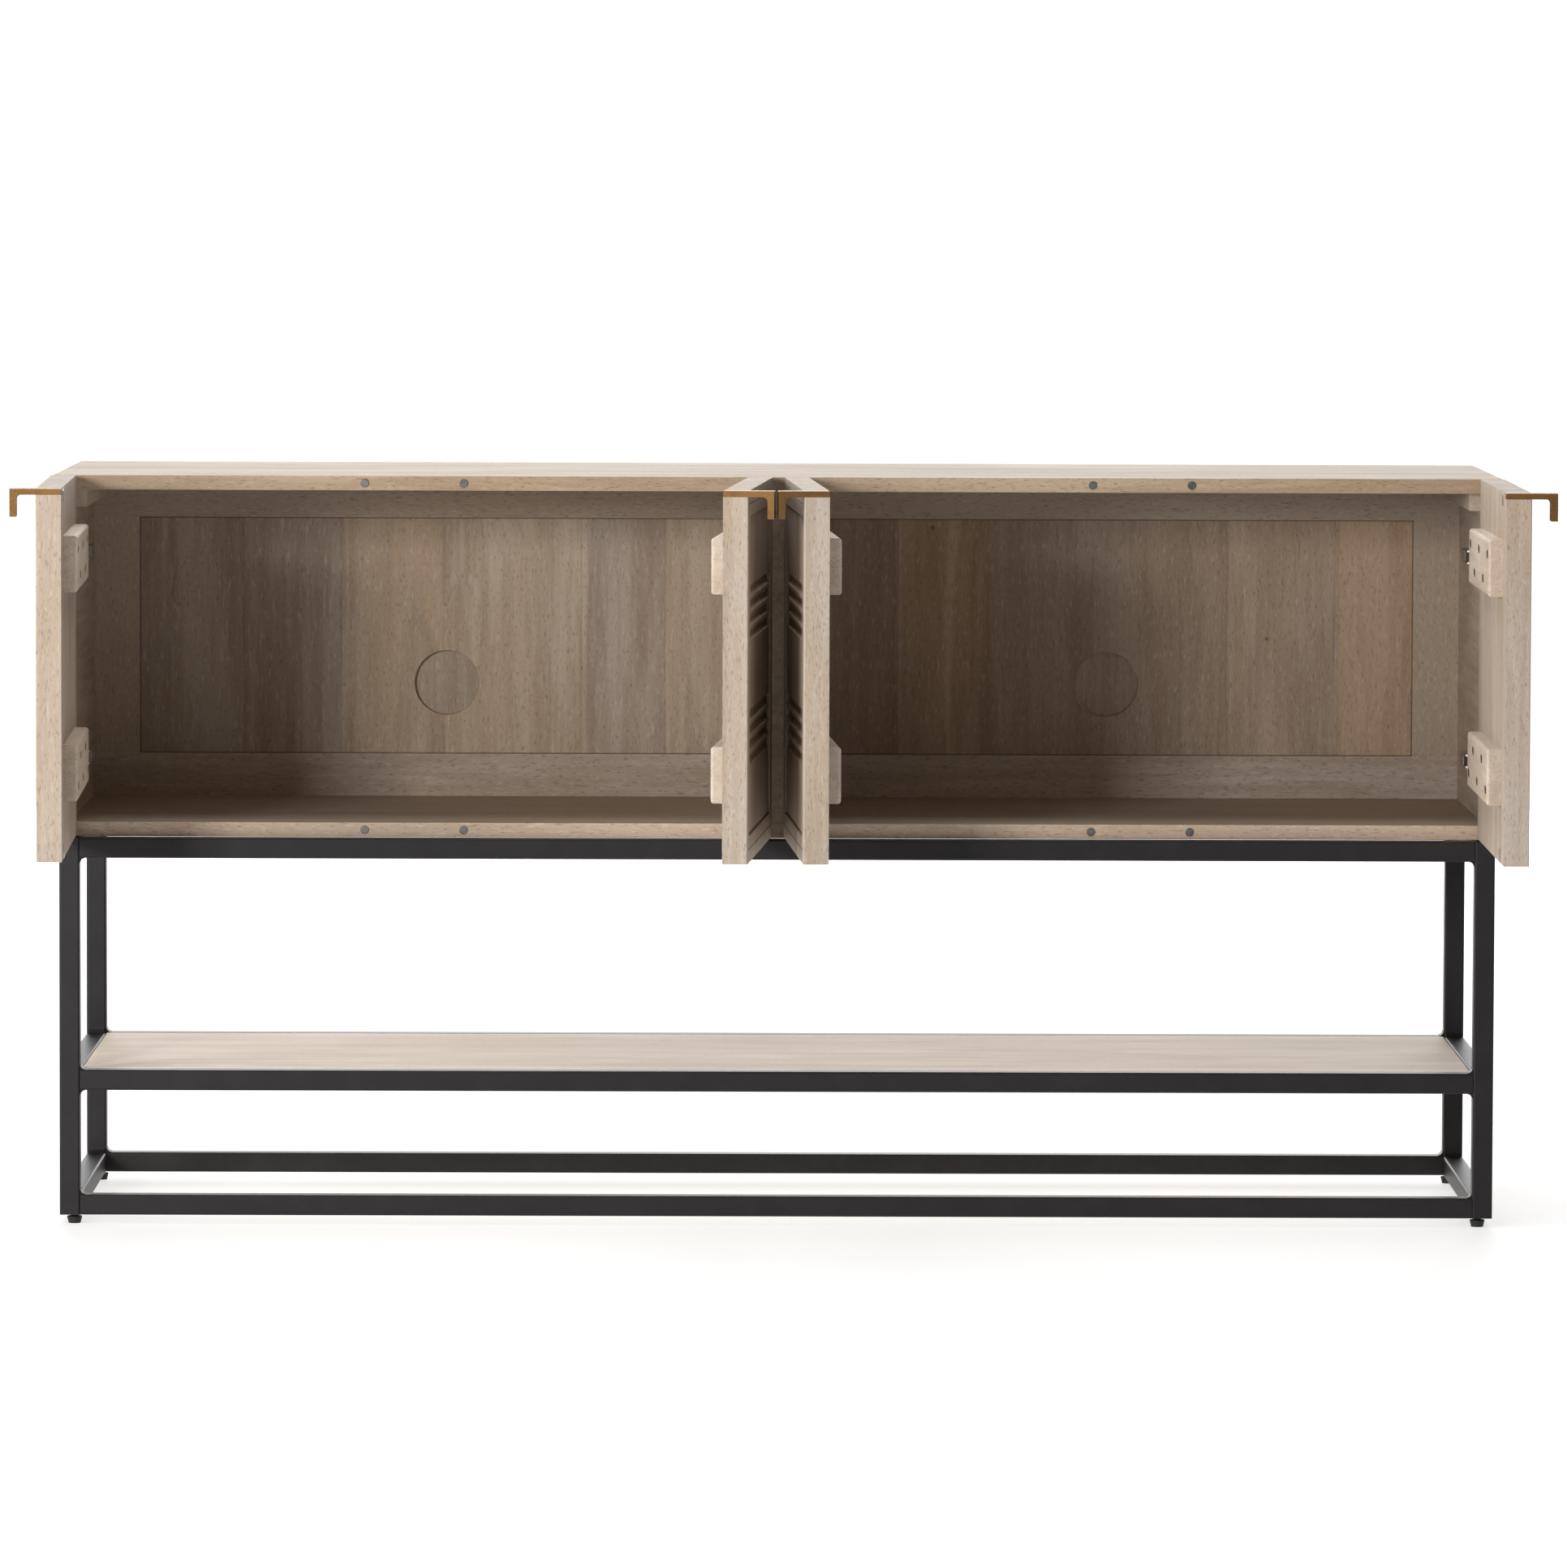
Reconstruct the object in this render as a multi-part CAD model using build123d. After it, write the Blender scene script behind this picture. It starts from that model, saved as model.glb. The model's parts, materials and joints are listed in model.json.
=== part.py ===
"""Sideboard: a four-door wooden cabinet on a square-tube iron stand with a low shelf.

Millimetres, +Z up. X runs along the front, the front faces -Y, and the origin is on the floor at the
middle of the plan outline with the doors standing open, as they are modelled here.
"""
from build123d import *
from math import atan2, cos, degrees, hypot, radians, sin, sqrt
import os

# ---- driving dimensions ----------------------------------------------------------------------------
WIDTH = 1778.0
TOTAL_HEIGHT = 920.0
CABINET_DEPTH = 476.0
FRONT_Y = -13.0                      # front plane of the cabinet carcass
CABINET_FLOOR = 476.0                # underside of the carcass
BOARD = 18.0                         # thickness of the carcass panels
EASE = 1.2                           # rounding of the wooden edges

TUBE = 25.0
TUBE_WALL = 2.0
TUBE_RADIUS = 2.5
STAND_WIDTH = 1762.0
STAND_DEPTH = 499.0
STAND_FORWARD = 24.0                 # how far the stand reaches in front of the carcass
LEG_BOTTOM = 11.0
SHELF_TOP = 190.0
BASE_RAIL_TOP = LEG_BOTTOM + TUBE
SHELF_GAP = 1.0
FOOT_INSET = 5.0                     # the feet stand this far inwards of the leg centres

BACK_THICK = 14.0
BACK_PANEL_THICK = 10.5
BACK_PANEL_INSET = 3.0               # the back panels lie this far behind the rails' faces
UPPER_RAIL = 52.0
LOWER_RAIL = 54.0
STILE = 58.0
CABLE_RADIUS = 41.0
CABLE_HEIGHT = 639.0
CABLE_RECESS = 8.0
COVER_FIT = 0.04                        # the covers fill their recesses without a visible gap
CLEAT = 22.0
CLEAT_LENGTH = 400.0

DOOR_THICK = 30.0
DOOR_GAP = 2.5                       # between the closed doors and the carcass
DOOR_BOTTOM = CABINET_FLOOR + 3.0
PAIR_GAP = 2.5                       # between the two doors of one compartment
CENTRE_GAP = 7.0                     # between the two doors hung on the divider
DOOR_WIDTH = (WIDTH - CENTRE_GAP - 2 * PAIR_GAP) / 4
DOOR_TOP = TOTAL_HEIGHT
DOOR_EASE = 1.5
HINGE_CHAMFER = 4.0                  # on the inner arris at the hinge edge, which passes the carcass
BORDER = 31.0                        # width of the border round the carved panel
BORDER_LINE = 15.5                   # the border's scored line, from the door's edge
PANEL_DEPTH = 10.0                   # depth of the pocket that holds the carved panel
PANEL_THICK = 8.0
FLUTE_WIDTH = 14.0
FLUTE_DEPTH = 3.0
FLUTE_PITCH = 17.5
FLUTES_PER_BAND = 4
BAND_OFFSET = 74.0                   # centre of each band of flutes, from the door's mid-height

BATTEN_THICK = 17.5
BATTEN_HEIGHT = 67.0
BATTEN_FROM_FREE = 50.0
BATTEN_FROM_HINGE = 62.0
BATTEN_CENTRES = (581.0, 829.0)
POCKET_HALF_LENGTH = 16.0               # the slanted screw pockets in the battens are oval
POCKET_HALF_HEIGHT = 5.8
POCKET_DEPTH = 9.0
POCKET_MARGIN = 22.0                    # from the batten's end to the first pocket's middle
BATTEN_ROW = 16.0                       # the rows of pockets lie this far above and below the middle

PULL_THICK = 7.0
PULL_LENGTH = 25.0                   # along the door's top edge
PULL_PROUD = 30.5
PULL_DROP = 33.0
PULL_LIP = 8.0

MAGNET_RADIUS = 5.2
MAGNET_DEPTH = 8.0
MAGNET_PROUD = 0.8
MAGNET_FROM_HINGE = 382.0
STRIKE_RADIUS = 8.0
STRIKE_THICK = 1.0

HINGE_HEIGHTS = (573.0, 824.0)
CUP_CENTRE = 22.5                    # from the door's hinge edge
CUP_RADIUS = 17.4
CUP_DEPTH = 13.0
CUP_WALL = 1.2
RIM_THICK = 0.6
RIM_OVERHANG = 1.0                     # the rim covers this much of the wood round the cup
ARM_SCREWS = (50.0, 69.0)            # from the carcass front
FIT = 0.1                            # clearance between pieces let into wood
CUP_PIN = (13.0, -6.0)               # from the hinge edge, and into the door from its inner face
CUP_PIN_RADIUS = 2.0
PIN_CLEARANCE = 0.08
ARM_PIN = (40.0, -10.0)              # u and v of the fixed pin
ARM_PIN_RADIUS = 1.8
SLOT_CLEARANCE = 0.2
SLOT_WALL = 1.2
LINK_EYE = 3.6
LINK_HALF = 1.9
LINK_HALF_HEIGHT = 5.5
ARM_WEB = 23.0                       # the arm's solid part starts this far behind the carcass front
ARM_END = 78.0
FORK_INNER = 6.2
FORK_OUTER = 8.2

# ---- derived positions -----------------------------------------------------------------------------
BACK_Y = FRONT_Y + CABINET_DEPTH
BACK_FACE_Y = BACK_Y - BACK_THICK
INNER_X = WIDTH / 2 - BOARD
INNER_LOW = CABINET_FLOOR + BOARD
INNER_HIGH = TOTAL_HEIGHT - BOARD
STAND_FRONT = FRONT_Y - STAND_FORWARD
STAND_BACK = STAND_FRONT + STAND_DEPTH
PANEL_EDGE = INNER_X - STILE
DOOR_HEIGHT = DOOR_TOP - DOOR_BOTTOM
DOOR_MIDDLE = (DOOR_TOP + DOOR_BOTTOM) / 2


class Hinge:
    """How one door swings, for a door hung at its left edge.

    Distances u run inwards from the closed door's hinge edge, and v outwards from the carcass front.
    The door turns about a fixed swing centre. A cranked link is pinned in the door's cup, and its far
    end has a slot that slides on the fixed pin of the arm.
    """

    def __init__(self, open_face, open_gap, wood_face, rate, lean, slot, side_play, bends):
        self.swing = ((open_face + DOOR_GAP - open_gap) / 2, (open_face + DOOR_GAP + open_gap) / 2)
        self.wood_face = wood_face
        self.rate = rate                 # turn of the link in the door, for each unit of opening
        self.lean = radians(lean)        # direction of the closed link's slot
        self.slot = slot                 # nearest and furthest place of the arm's pin along the slot
        self.slot_half = ARM_PIN_RADIUS + side_play + SLOT_CLEARANCE
        self.bends = bends

    def along_slot(self, distance):
        """Point of the closed link on the slot's line, at this distance from the cup's pin."""
        return CUP_PIN[0] + distance * cos(self.lean), CUP_PIN[1] + distance * sin(self.lean)


OUTER_HINGE = Hinge(29.0, 7.5, BOARD, -1.286, 35.531, (29.63, 36.04), 0.958, ((21.9, -8.6), (29.3, -3.8)))
INNER_HINGE = Hinge(34.5, 10.5, (BOARD - CENTRE_GAP) / 2, -1.432, 34.592, (27.81, 34.74), 1.02,
                    ((22.5, -8.6), (30.5, 1.6)))

# name, hinge edge, hung at its right edge, hinge, opening at rest
DOORS = (
    ("outer_left", -WIDTH / 2, False, OUTER_HINGE, 88.2),
    ("inner_left", -CENTRE_GAP / 2, True, INNER_HINGE, 86.1),
    ("inner_right", CENTRE_GAP / 2, False, INNER_HINGE, 87.2),
    ("outer_right", WIDTH / 2, True, OUTER_HINGE, 89.5),
)

nodes = {}


# ---- helpers ---------------------------------------------------------------------------------------
def block(x0, x1, y0, y1, z0, z1, ease=0.0):
    """A box between two corners, with its edges rounded by ease."""
    solid = Pos((x0 + x1) / 2, (y0 + y1) / 2, (z0 + z1) / 2) * Box(x1 - x0, y1 - y0, z1 - z0)
    return fillet(solid.edges(), ease) if ease else solid


def rod(centre, direction, radius, length):
    """A cylinder that starts at centre and runs along direction."""
    plane = Plane(origin=centre, z_dir=direction)
    return plane * Cylinder(radius, length, align=(Align.CENTER, Align.CENTER, Align.MIN))


def tube(length, axis):
    """A square tube centred on the origin along X, Y or Z, open at both ends."""
    inner = TUBE - 2 * TUBE_WALL
    profile = RectangleRounded(TUBE, TUBE, TUBE_RADIUS) - RectangleRounded(inner, inner, 0.8)
    solid = extrude(profile, length / 2, both=True)
    turns = {"X": Rot(0, 90, 0), "Y": Rot(90, 0, 0), "Z": Rot(0, 0, 0)}
    return turns[axis] * solid


def mirror_x(shape):
    """The same shape on the other side of X = 0."""
    return mirror(shape, about=Plane.YZ)


def group(solids):
    """Several separate solids as one node."""
    flat = []
    for item in solids:
        flat.extend(item.solids())
    return Compound(flat)


# ---- stand -----------------------------------------------------------------------------------------
def make_stand():
    leg_x = STAND_WIDTH / 2 - TUBE / 2
    front_y = STAND_FRONT + TUBE / 2
    back_y = STAND_BACK - TUBE / 2
    leg_length = CABINET_FLOOR - LEG_BOTTOM
    cap = block(-TUBE / 2 + 1, TUBE / 2 - 1, -TUBE / 2 + 1, TUBE / 2 - 1, 0, 3)
    for depth_name, y in (("front", front_y), ("back", back_y)):
        for side_name, side in (("left", -1), ("right", 1)):
            leg = Pos(0, 0, leg_length / 2) * tube(leg_length, "Z") + cap
            leg -= Pos(-side * FOOT_INSET, 0, 0) * Cylinder(3.0 + FIT, 12)
            nodes[f"leg_{depth_name}_{side_name}"] = Pos(side * leg_x, y, LEG_BOTTOM) * leg
    long_rail = tube(STAND_WIDTH - 2 * TUBE, "X")
    side_rail = tube(STAND_DEPTH - 2 * TUBE, "Y")
    middle_y = (front_y + back_y) / 2
    for level, top in (("top", CABINET_FLOOR), ("shelf", SHELF_TOP), ("base", BASE_RAIL_TOP)):
        z = top - TUBE / 2
        nodes[f"{level}_rail_front"] = Pos(0, front_y, z) * long_rail
        nodes[f"{level}_rail_back"] = Pos(0, back_y, z) * long_rail
        nodes[f"{level}_rails_side"] = group([Pos(s * leg_x, middle_y, z) * side_rail for s in (-1, 1)])


def make_feet():
    pad = Pos(0, 0, 4.25) * Cone(7.5, 9.5, 8.5)
    pad = chamfer(pad.edges().group_by(Axis.Z)[-1], 0.8)
    stem = Pos(0, 0, 18) * Cylinder(3.0, 22)
    nut = Pos(0, 0, 9.5) * extrude(RegularPolygon(5.5, 6), 1.4)
    foot = pad + stem + nut
    x = STAND_WIDTH / 2 - TUBE / 2 - FOOT_INSET
    places = [(sx * x, y) for sx in (-1, 1) for y in (STAND_FRONT + TUBE / 2, STAND_BACK - TUBE / 2)]
    nodes["levelling_feet"] = group([Pos(px, py, 0) * foot for px, py in places])


def make_shelf():
    x = STAND_WIDTH / 2 - TUBE - SHELF_GAP
    y0 = STAND_FRONT + TUBE + SHELF_GAP
    y1 = STAND_BACK - TUBE - SHELF_GAP
    low = SHELF_TOP - BOARD
    nodes["shelf_board"] = block(-x, x, y0, y1, low, SHELF_TOP, EASE)
    tabs = []
    for tx in (-620.0, -207.0, 207.0, 620.0):
        tabs.append(block(tx - 20, tx + 20, y0 - SHELF_GAP, y0 + 22, low - 3, low))
        tabs.append(block(tx - 20, tx + 20, y1 - 22, y1 + SHELF_GAP, low - 3, low))
    nodes["shelf_support_tabs"] = group(tabs)


# ---- carcass ---------------------------------------------------------------------------------------
def magnet_places():
    """X of each magnet: every door has one at the top and one at the bottom."""
    for _, edge, right_hung, _, _ in DOORS:
        yield edge + (-1 if right_hung else 1) * MAGNET_FROM_HINGE


def make_carcass():
    half = WIDTH / 2
    pocket = MAGNET_DEPTH + FIT
    for name, low in (("bottom_panel", CABINET_FLOOR), ("top_panel", TOTAL_HEIGHT - BOARD)):
        panel = block(-half, half, FRONT_Y, BACK_Y, low, low + BOARD, EASE)
        for x in magnet_places():
            panel -= rod((x, FRONT_Y - 1, low + BOARD / 2), (0, 1, 0), MAGNET_RADIUS + FIT, pocket + 1)
        nodes[name] = panel
    side = block(INNER_X, half, FRONT_Y, BACK_Y, INNER_LOW, INNER_HIGH, 0)
    long_edges = side.edges().filter_by(Axis.Z)
    side = fillet(long_edges, EASE)
    nodes["side_panel_right"] = side
    nodes["side_panel_left"] = mirror_x(side)
    divider = block(-BOARD / 2, BOARD / 2, FRONT_Y, BACK_FACE_Y, INNER_LOW, INNER_HIGH, 0)
    nodes["centre_divider"] = fillet(divider.edges().filter_by(Axis.Z), EASE)
    magnets = []
    for x in magnet_places():
        for z in (CABINET_FLOOR + BOARD / 2, TOTAL_HEIGHT - BOARD / 2):
            disc = rod((x, FRONT_Y - MAGNET_PROUD, z), (0, 1, 0), MAGNET_RADIUS, MAGNET_DEPTH)
            rim = disc.edges().group_by(Axis.Y)[0]
            magnets.append(fillet(rim, 0.6))
    nodes["catch_magnets"] = group(magnets)


def make_back():
    rail_low = INNER_LOW + LOWER_RAIL
    rail_high = INNER_HIGH - UPPER_RAIL
    nodes["back_rail_upper"] = block(-INNER_X, INNER_X, BACK_FACE_Y, BACK_Y, rail_high, INNER_HIGH)
    nodes["back_rail_lower"] = block(-INNER_X, INNER_X, BACK_FACE_Y, BACK_Y, INNER_LOW, rail_low)
    stiles = []
    for x0 in (-INNER_X, -STILE / 2, PANEL_EDGE):
        stiles.append(block(x0, x0 + STILE, BACK_FACE_Y, BACK_Y, rail_low, rail_high))
    nodes["back_stiles"] = group(stiles)
    face = BACK_FACE_Y + BACK_PANEL_INSET
    centre = (PANEL_EDGE + STILE / 2) / 2
    panel = block(STILE / 2, PANEL_EDGE, face, face + BACK_PANEL_THICK, rail_low, rail_high)
    panel -= rod((centre, face - 1, CABLE_HEIGHT), (0, 1, 0), CABLE_RADIUS, BACK_PANEL_THICK + 2)
    rim = panel.edges().filter_by(GeomType.CIRCLE).group_by(Axis.Y)[0]
    panel = fillet(rim, 0.8)
    nodes["back_panel_right"] = panel
    nodes["back_panel_left"] = mirror_x(panel)
    cover_face = face + CABLE_RECESS
    cover_depth = BACK_Y - cover_face - 1
    covers = []
    for side in (-1, 1):
        start = (side * centre, cover_face, CABLE_HEIGHT)
        covers.append(rod(start, (0, 1, 0), CABLE_RADIUS - COVER_FIT, cover_depth))
    nodes["cable_covers"] = group(covers)


def make_cleats():
    y0 = FRONT_Y + 24
    pieces = []
    for x0 in (-INNER_X, -BOARD / 2 - CLEAT, BOARD / 2, INNER_X - CLEAT):
        cleat = block(x0, x0 + CLEAT, y0, y0 + CLEAT_LENGTH, INNER_HIGH - CLEAT, INNER_HIGH)
        lower = cleat.edges().filter_by(Axis.Y).group_by(Axis.Z)[0]
        cleat = fillet(lower, 2.0)
        for step in range(5):
            y = y0 + 25 + step * (CLEAT_LENGTH - 50) / 4
            cleat -= rod((x0 + CLEAT / 2, y, INNER_HIGH - CLEAT - 1), (0, 0, 1), 4.0, 11)
        pieces.append(cleat)
    nodes["top_cleats"] = group(pieces)


# ---- hinges: every piece is made for a left-hung door at X = 0, and then placed --------------------
def place(shape, edge, right_hung):
    """Moves a piece made for a left-hung door at X = 0 to its door's hinge edge."""
    if right_hung:
        shape = mirror_x(shape)
    return Pos(edge, FRONT_Y, 0) * shape


def outline_solid(points, half_height):
    """A flat solid of this outline, centred on Z = 0."""
    return extrude(make_face(Polyline(points, close=True)), half_height, both=True)


def hinge_arm(z):
    """The arm, with the fork and pin that guide the link."""
    u, v = ARM_PIN
    body = block(u - 6, u + 5, ARM_WEB, ARM_END, -FORK_OUTER, FORK_OUTER)
    body = fillet(body.edges().filter_by(Axis.Y), 1.5)
    for side in (-1, 1):
        z0, z1 = sorted((side * FORK_INNER, side * FORK_OUTER))
        body += block(u - 5, u + 5, -v, ARM_WEB + 1, z0, z1)
        body += rod((u, -v, z0), (0, 0, 1), 5.0, z1 - z0)
    body += rod((u, -v, -FORK_OUTER), (0, 0, 1), ARM_PIN_RADIUS, 2 * FORK_OUTER)
    for y in ARM_SCREWS:
        body -= rod((u + 6, y, 0), (-1, 0, 0), 3.2, 3.5)
    return Pos(0, 0, z) * body


def hinge_plate(hinge, z):
    """The mounting plate on the wood, and the spacer under the arm."""
    u0 = hinge.wood_face
    y0, y1 = ARM_WEB + 4, ARM_END - 4
    plate = block(u0, u0 + 3, y0, y1, -24, 24)
    plate = fillet(plate.edges().filter_by(Axis.X), 6.0)
    for side in (-1, 1):
        plate -= rod((u0 - 1, (y0 + y1) / 2, side * 17.0), (1, 0, 0), 3.0, 6)
    spacer = block(u0 + 3, ARM_PIN[0] - 6, ARM_WEB + 2, ARM_END - 2, -FORK_OUTER + 1, FORK_OUTER - 1)
    return Pos(0, 0, z) * (plate + spacer)


def bar(start, end, half):
    """A flat bar with round ends between two points."""
    length = hypot(end[0] - start[0], end[1] - start[1])
    turn = degrees(atan2(end[1] - start[1], end[0] - start[0]))
    middle = Location(((start[0] + end[0]) / 2, (start[1] + end[1]) / 2, 0), (0, 0, turn))
    return SlotCenterToCenter(length, 2 * half).moved(middle)


def hinge_link(hinge, z):
    """The cranked link, as it lies in the closed door's drawing."""
    near, far = (hinge.along_slot(d) for d in hinge.slot)
    hole_near = hinge.along_slot(hinge.slot[0] - SLOT_CLEARANCE)
    hole_far = hinge.along_slot(hinge.slot[1] + SLOT_CLEARANCE)
    route = [CUP_PIN, *hinge.bends, near]
    flat = Pos(*CUP_PIN) * Circle(LINK_EYE)
    for start, end in zip(route, route[1:]):
        flat += bar(start, end, LINK_HALF)
    flat += bar(near, far, hinge.slot_half + SLOT_WALL)
    flat -= bar(hole_near, hole_far, hinge.slot_half)
    flat -= Pos(*CUP_PIN) * Circle(CUP_PIN_RADIUS + PIN_CLEARANCE)
    return Pos(0, 0, z) * extrude(flat, LINK_HALF_HEIGHT, both=True)


def turn_link(shape, hinge, opening):
    """Turns a closed link about the cup's pin, within the door's drawing."""
    s, h = CUP_PIN
    return Pos(s, h, 0) * Rot(0, 0, -hinge.rate * opening) * Pos(-s, -h, 0) * shape


def open_door(shape, hinge, opening):
    """Swings a piece of the door from its flat drawing to the open door's place."""
    u, v = hinge.swing
    return Pos(u, -v, 0) * Rot(0, 0, -opening) * Pos(-u, v - DOOR_GAP, 0) * shape


def hinge_cup(z):
    """The cup let into the door, its rim plate, and the pin across it."""
    s, h = CUP_PIN
    cup = rod((CUP_CENTRE, 0, 0), (0, -1, 0), CUP_RADIUS, CUP_DEPTH)
    cup += block(CUP_CENTRE - 7, CUP_CENTRE + 7, 0, RIM_THICK, -29, 29)
    cup += rod((CUP_CENTRE, RIM_THICK, 0), (0, -1, 0), CUP_RADIUS + RIM_OVERHANG, RIM_THICK)
    cup -= rod((CUP_CENTRE, 2, 0), (0, -1, 0), CUP_RADIUS - CUP_WALL, CUP_DEPTH + 1)
    reach = sqrt((CUP_RADIUS - CUP_WALL / 2) ** 2 - (CUP_CENTRE - s + CUP_PIN_RADIUS) ** 2)
    cup += rod((s, h, -reach), (0, 0, 1), CUP_PIN_RADIUS, 2 * reach)
    return Pos(0, 0, z) * cup


# ---- doors: drawn flat, s along X from the hinge edge, inner face at Y = 0, outer face at -Y -------
def door_slab():
    slab = block(0, DOOR_WIDTH, -DOOR_THICK, 0, DOOR_BOTTOM, DOOR_TOP)
    hinge_arris = slab.edges().filter_by(Axis.Z).group_by(Axis.Y)[-1].sort_by(Axis.X)[0]
    slab = chamfer(hinge_arris, HINGE_CHAMFER)
    slab = fillet(slab.edges().filter_by(Axis.Z).group_by(Axis.Y)[0], DOOR_EASE)
    outer = -DOOR_THICK
    slab -= block(BORDER, DOOR_WIDTH - BORDER, outer - 1, outer + PANEL_DEPTH,
                  DOOR_BOTTOM + BORDER, DOOR_TOP - BORDER)
    ring = (Rectangle(DOOR_WIDTH - 2 * BORDER_LINE, DOOR_HEIGHT - 2 * BORDER_LINE)
            - Rectangle(DOOR_WIDTH - 2 * BORDER_LINE - 2.4, DOOR_HEIGHT - 2 * BORDER_LINE - 2.4))
    groove = extrude(Plane.XZ * ring, 1.2)
    slab -= Pos(DOOR_WIDTH / 2, outer + 1.2, DOOR_MIDDLE) * groove
    slab -= block(DOOR_WIDTH - PULL_LENGTH - FIT, DOOR_WIDTH + 1, outer - 1, 1,
                  DOOR_TOP - PULL_THICK - FIT, DOOR_TOP + 1)
    for z in HINGE_HEIGHTS:
        slab -= rod((CUP_CENTRE, 1, z), (0, -1, 0), CUP_RADIUS + FIT, CUP_DEPTH + FIT + 1)
    return slab


def carved_panel():
    outer = -DOOR_THICK + PANEL_DEPTH - PANEL_THICK
    inset = BORDER + 0.3
    panel = block(inset, DOOR_WIDTH - inset, outer, outer + PANEL_THICK,
                  DOOR_BOTTOM + inset, DOOR_TOP - inset)
    front = panel.faces().sort_by(Axis.Y)[0]
    panel = chamfer(front.edges(), 2.0)
    flute_radius = (FLUTE_WIDTH ** 2 / 4 + FLUTE_DEPTH ** 2) / (2 * FLUTE_DEPTH)
    for band in (-1, 1):
        for row in range(FLUTES_PER_BAND):
            offset = band * BAND_OFFSET + (row - (FLUTES_PER_BAND - 1) / 2) * FLUTE_PITCH
            start = (inset + 12, outer - flute_radius + FLUTE_DEPTH, DOOR_MIDDLE + offset)
            panel -= rod(start, (1, 0, 0), flute_radius, DOOR_WIDTH - 2 * inset - 24)
    return panel


def batten(centre, upper):
    """A batten with two rows of oval screw pockets, three in one row and two in the other."""
    s0, s1 = BATTEN_FROM_HINGE, DOOR_WIDTH - BATTEN_FROM_FREE
    piece = block(s0, s1, 0, BATTEN_THICK, centre - BATTEN_HEIGHT / 2, centre + BATTEN_HEIGHT / 2)
    face = piece.faces().sort_by(Axis.Y)[-1]
    piece = fillet(face.edges(), 4.0)
    pitch = (s1 - s0 - 2 * POCKET_MARGIN) / 4
    for hole in range(5):
        row = 1 if (hole % 2 == 0) == upper else -1
        mouth = (s0 + POCKET_MARGIN + hole * pitch, BATTEN_THICK + 1, centre + row * BATTEN_ROW)
        plane = Plane(origin=mouth, x_dir=(1, 0, 0), z_dir=(0, -1, 0))
        piece -= extrude(plane * Ellipse(POCKET_HALF_LENGTH, POCKET_HALF_HEIGHT), POCKET_DEPTH + 1)
    return piece


def pull():
    """A bent brass bar let into the door's top edge, with a lip that hangs in front of the door."""
    end = -DOOR_THICK - PULL_PROUD
    low = DOOR_TOP - PULL_DROP
    outline = Polyline((0, DOOR_TOP), (end, DOOR_TOP), (end, low), (end + PULL_LIP, low),
                       (end + PULL_LIP, DOOR_TOP - PULL_THICK), (0, DOOR_TOP - PULL_THICK), close=True)
    bar = extrude(Plane.YZ * make_face(outline), PULL_LENGTH)
    corner = bar.edges().filter_by(Axis.X).filter_by(
        lambda e: abs(e.center().Y - end - PULL_LIP) < 0.1 and abs(e.center().Z - DOOR_TOP + PULL_THICK) < 0.1)
    bar = fillet(corner, 6.0)
    bar = chamfer(bar.edges().filter_by(Axis.X), 0.5)
    return Pos(DOOR_WIDTH - PULL_LENGTH, 0, 0) * bar


def strike_plates():
    return group([rod((MAGNET_FROM_HINGE, STRIKE_THICK, z), (0, -1, 0), STRIKE_RADIUS, STRIKE_THICK)
                  for z in (CABINET_FLOOR + BOARD / 2 + 2.5, TOTAL_HEIGHT - BOARD / 2)])


def make_doors():
    flat = {
        "slab": door_slab(),
        "carved_panel": carved_panel(),
        "battens": group([batten(z, z > DOOR_MIDDLE) for z in BATTEN_CENTRES]),
        "pull": pull(),
        "strike_plates": strike_plates(),
    }
    arms, plates = [], []
    for name, edge, right_hung, hinge, opening in DOORS:
        pieces = dict(flat)
        pieces["hinge_cups"] = group([hinge_cup(z) for z in HINGE_HEIGHTS])
        for piece, shape in pieces.items():
            nodes[f"door_{name}_{piece}"] = place(open_door(shape, hinge, opening), edge, right_hung)
        links = group([turn_link(hinge_link(hinge, z), hinge, opening) for z in HINGE_HEIGHTS])
        nodes[f"hinge_links_{name}"] = place(open_door(links, hinge, opening), edge, right_hung)
        for z in HINGE_HEIGHTS:
            arms.append(place(hinge_arm(z), edge, right_hung))
            plates.append(place(hinge_plate(hinge, z), edge, right_hung))
    nodes["hinge_arms"] = group(arms)
    nodes["hinge_plates"] = group(plates)


make_stand()
make_feet()
make_shelf()
make_carcass()
make_back()
make_cleats()
make_doors()

os.makedirs("parts", exist_ok=True)
for node_name, node_shape in nodes.items():
    export_step(node_shape, f"parts/{node_name}.step")
print(len(nodes), "nodes")
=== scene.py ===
"""Sideboard scene: finishes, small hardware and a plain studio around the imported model.

Metres, +Z up. X runs along the front, the front faces -Y, and the origin is on the floor.
"""
from __future__ import annotations

import json
import logging
import math
from collections.abc import Callable, Iterable
from dataclasses import dataclass, field
from enum import Enum

import bpy
from mathutils import Matrix, Vector

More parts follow.
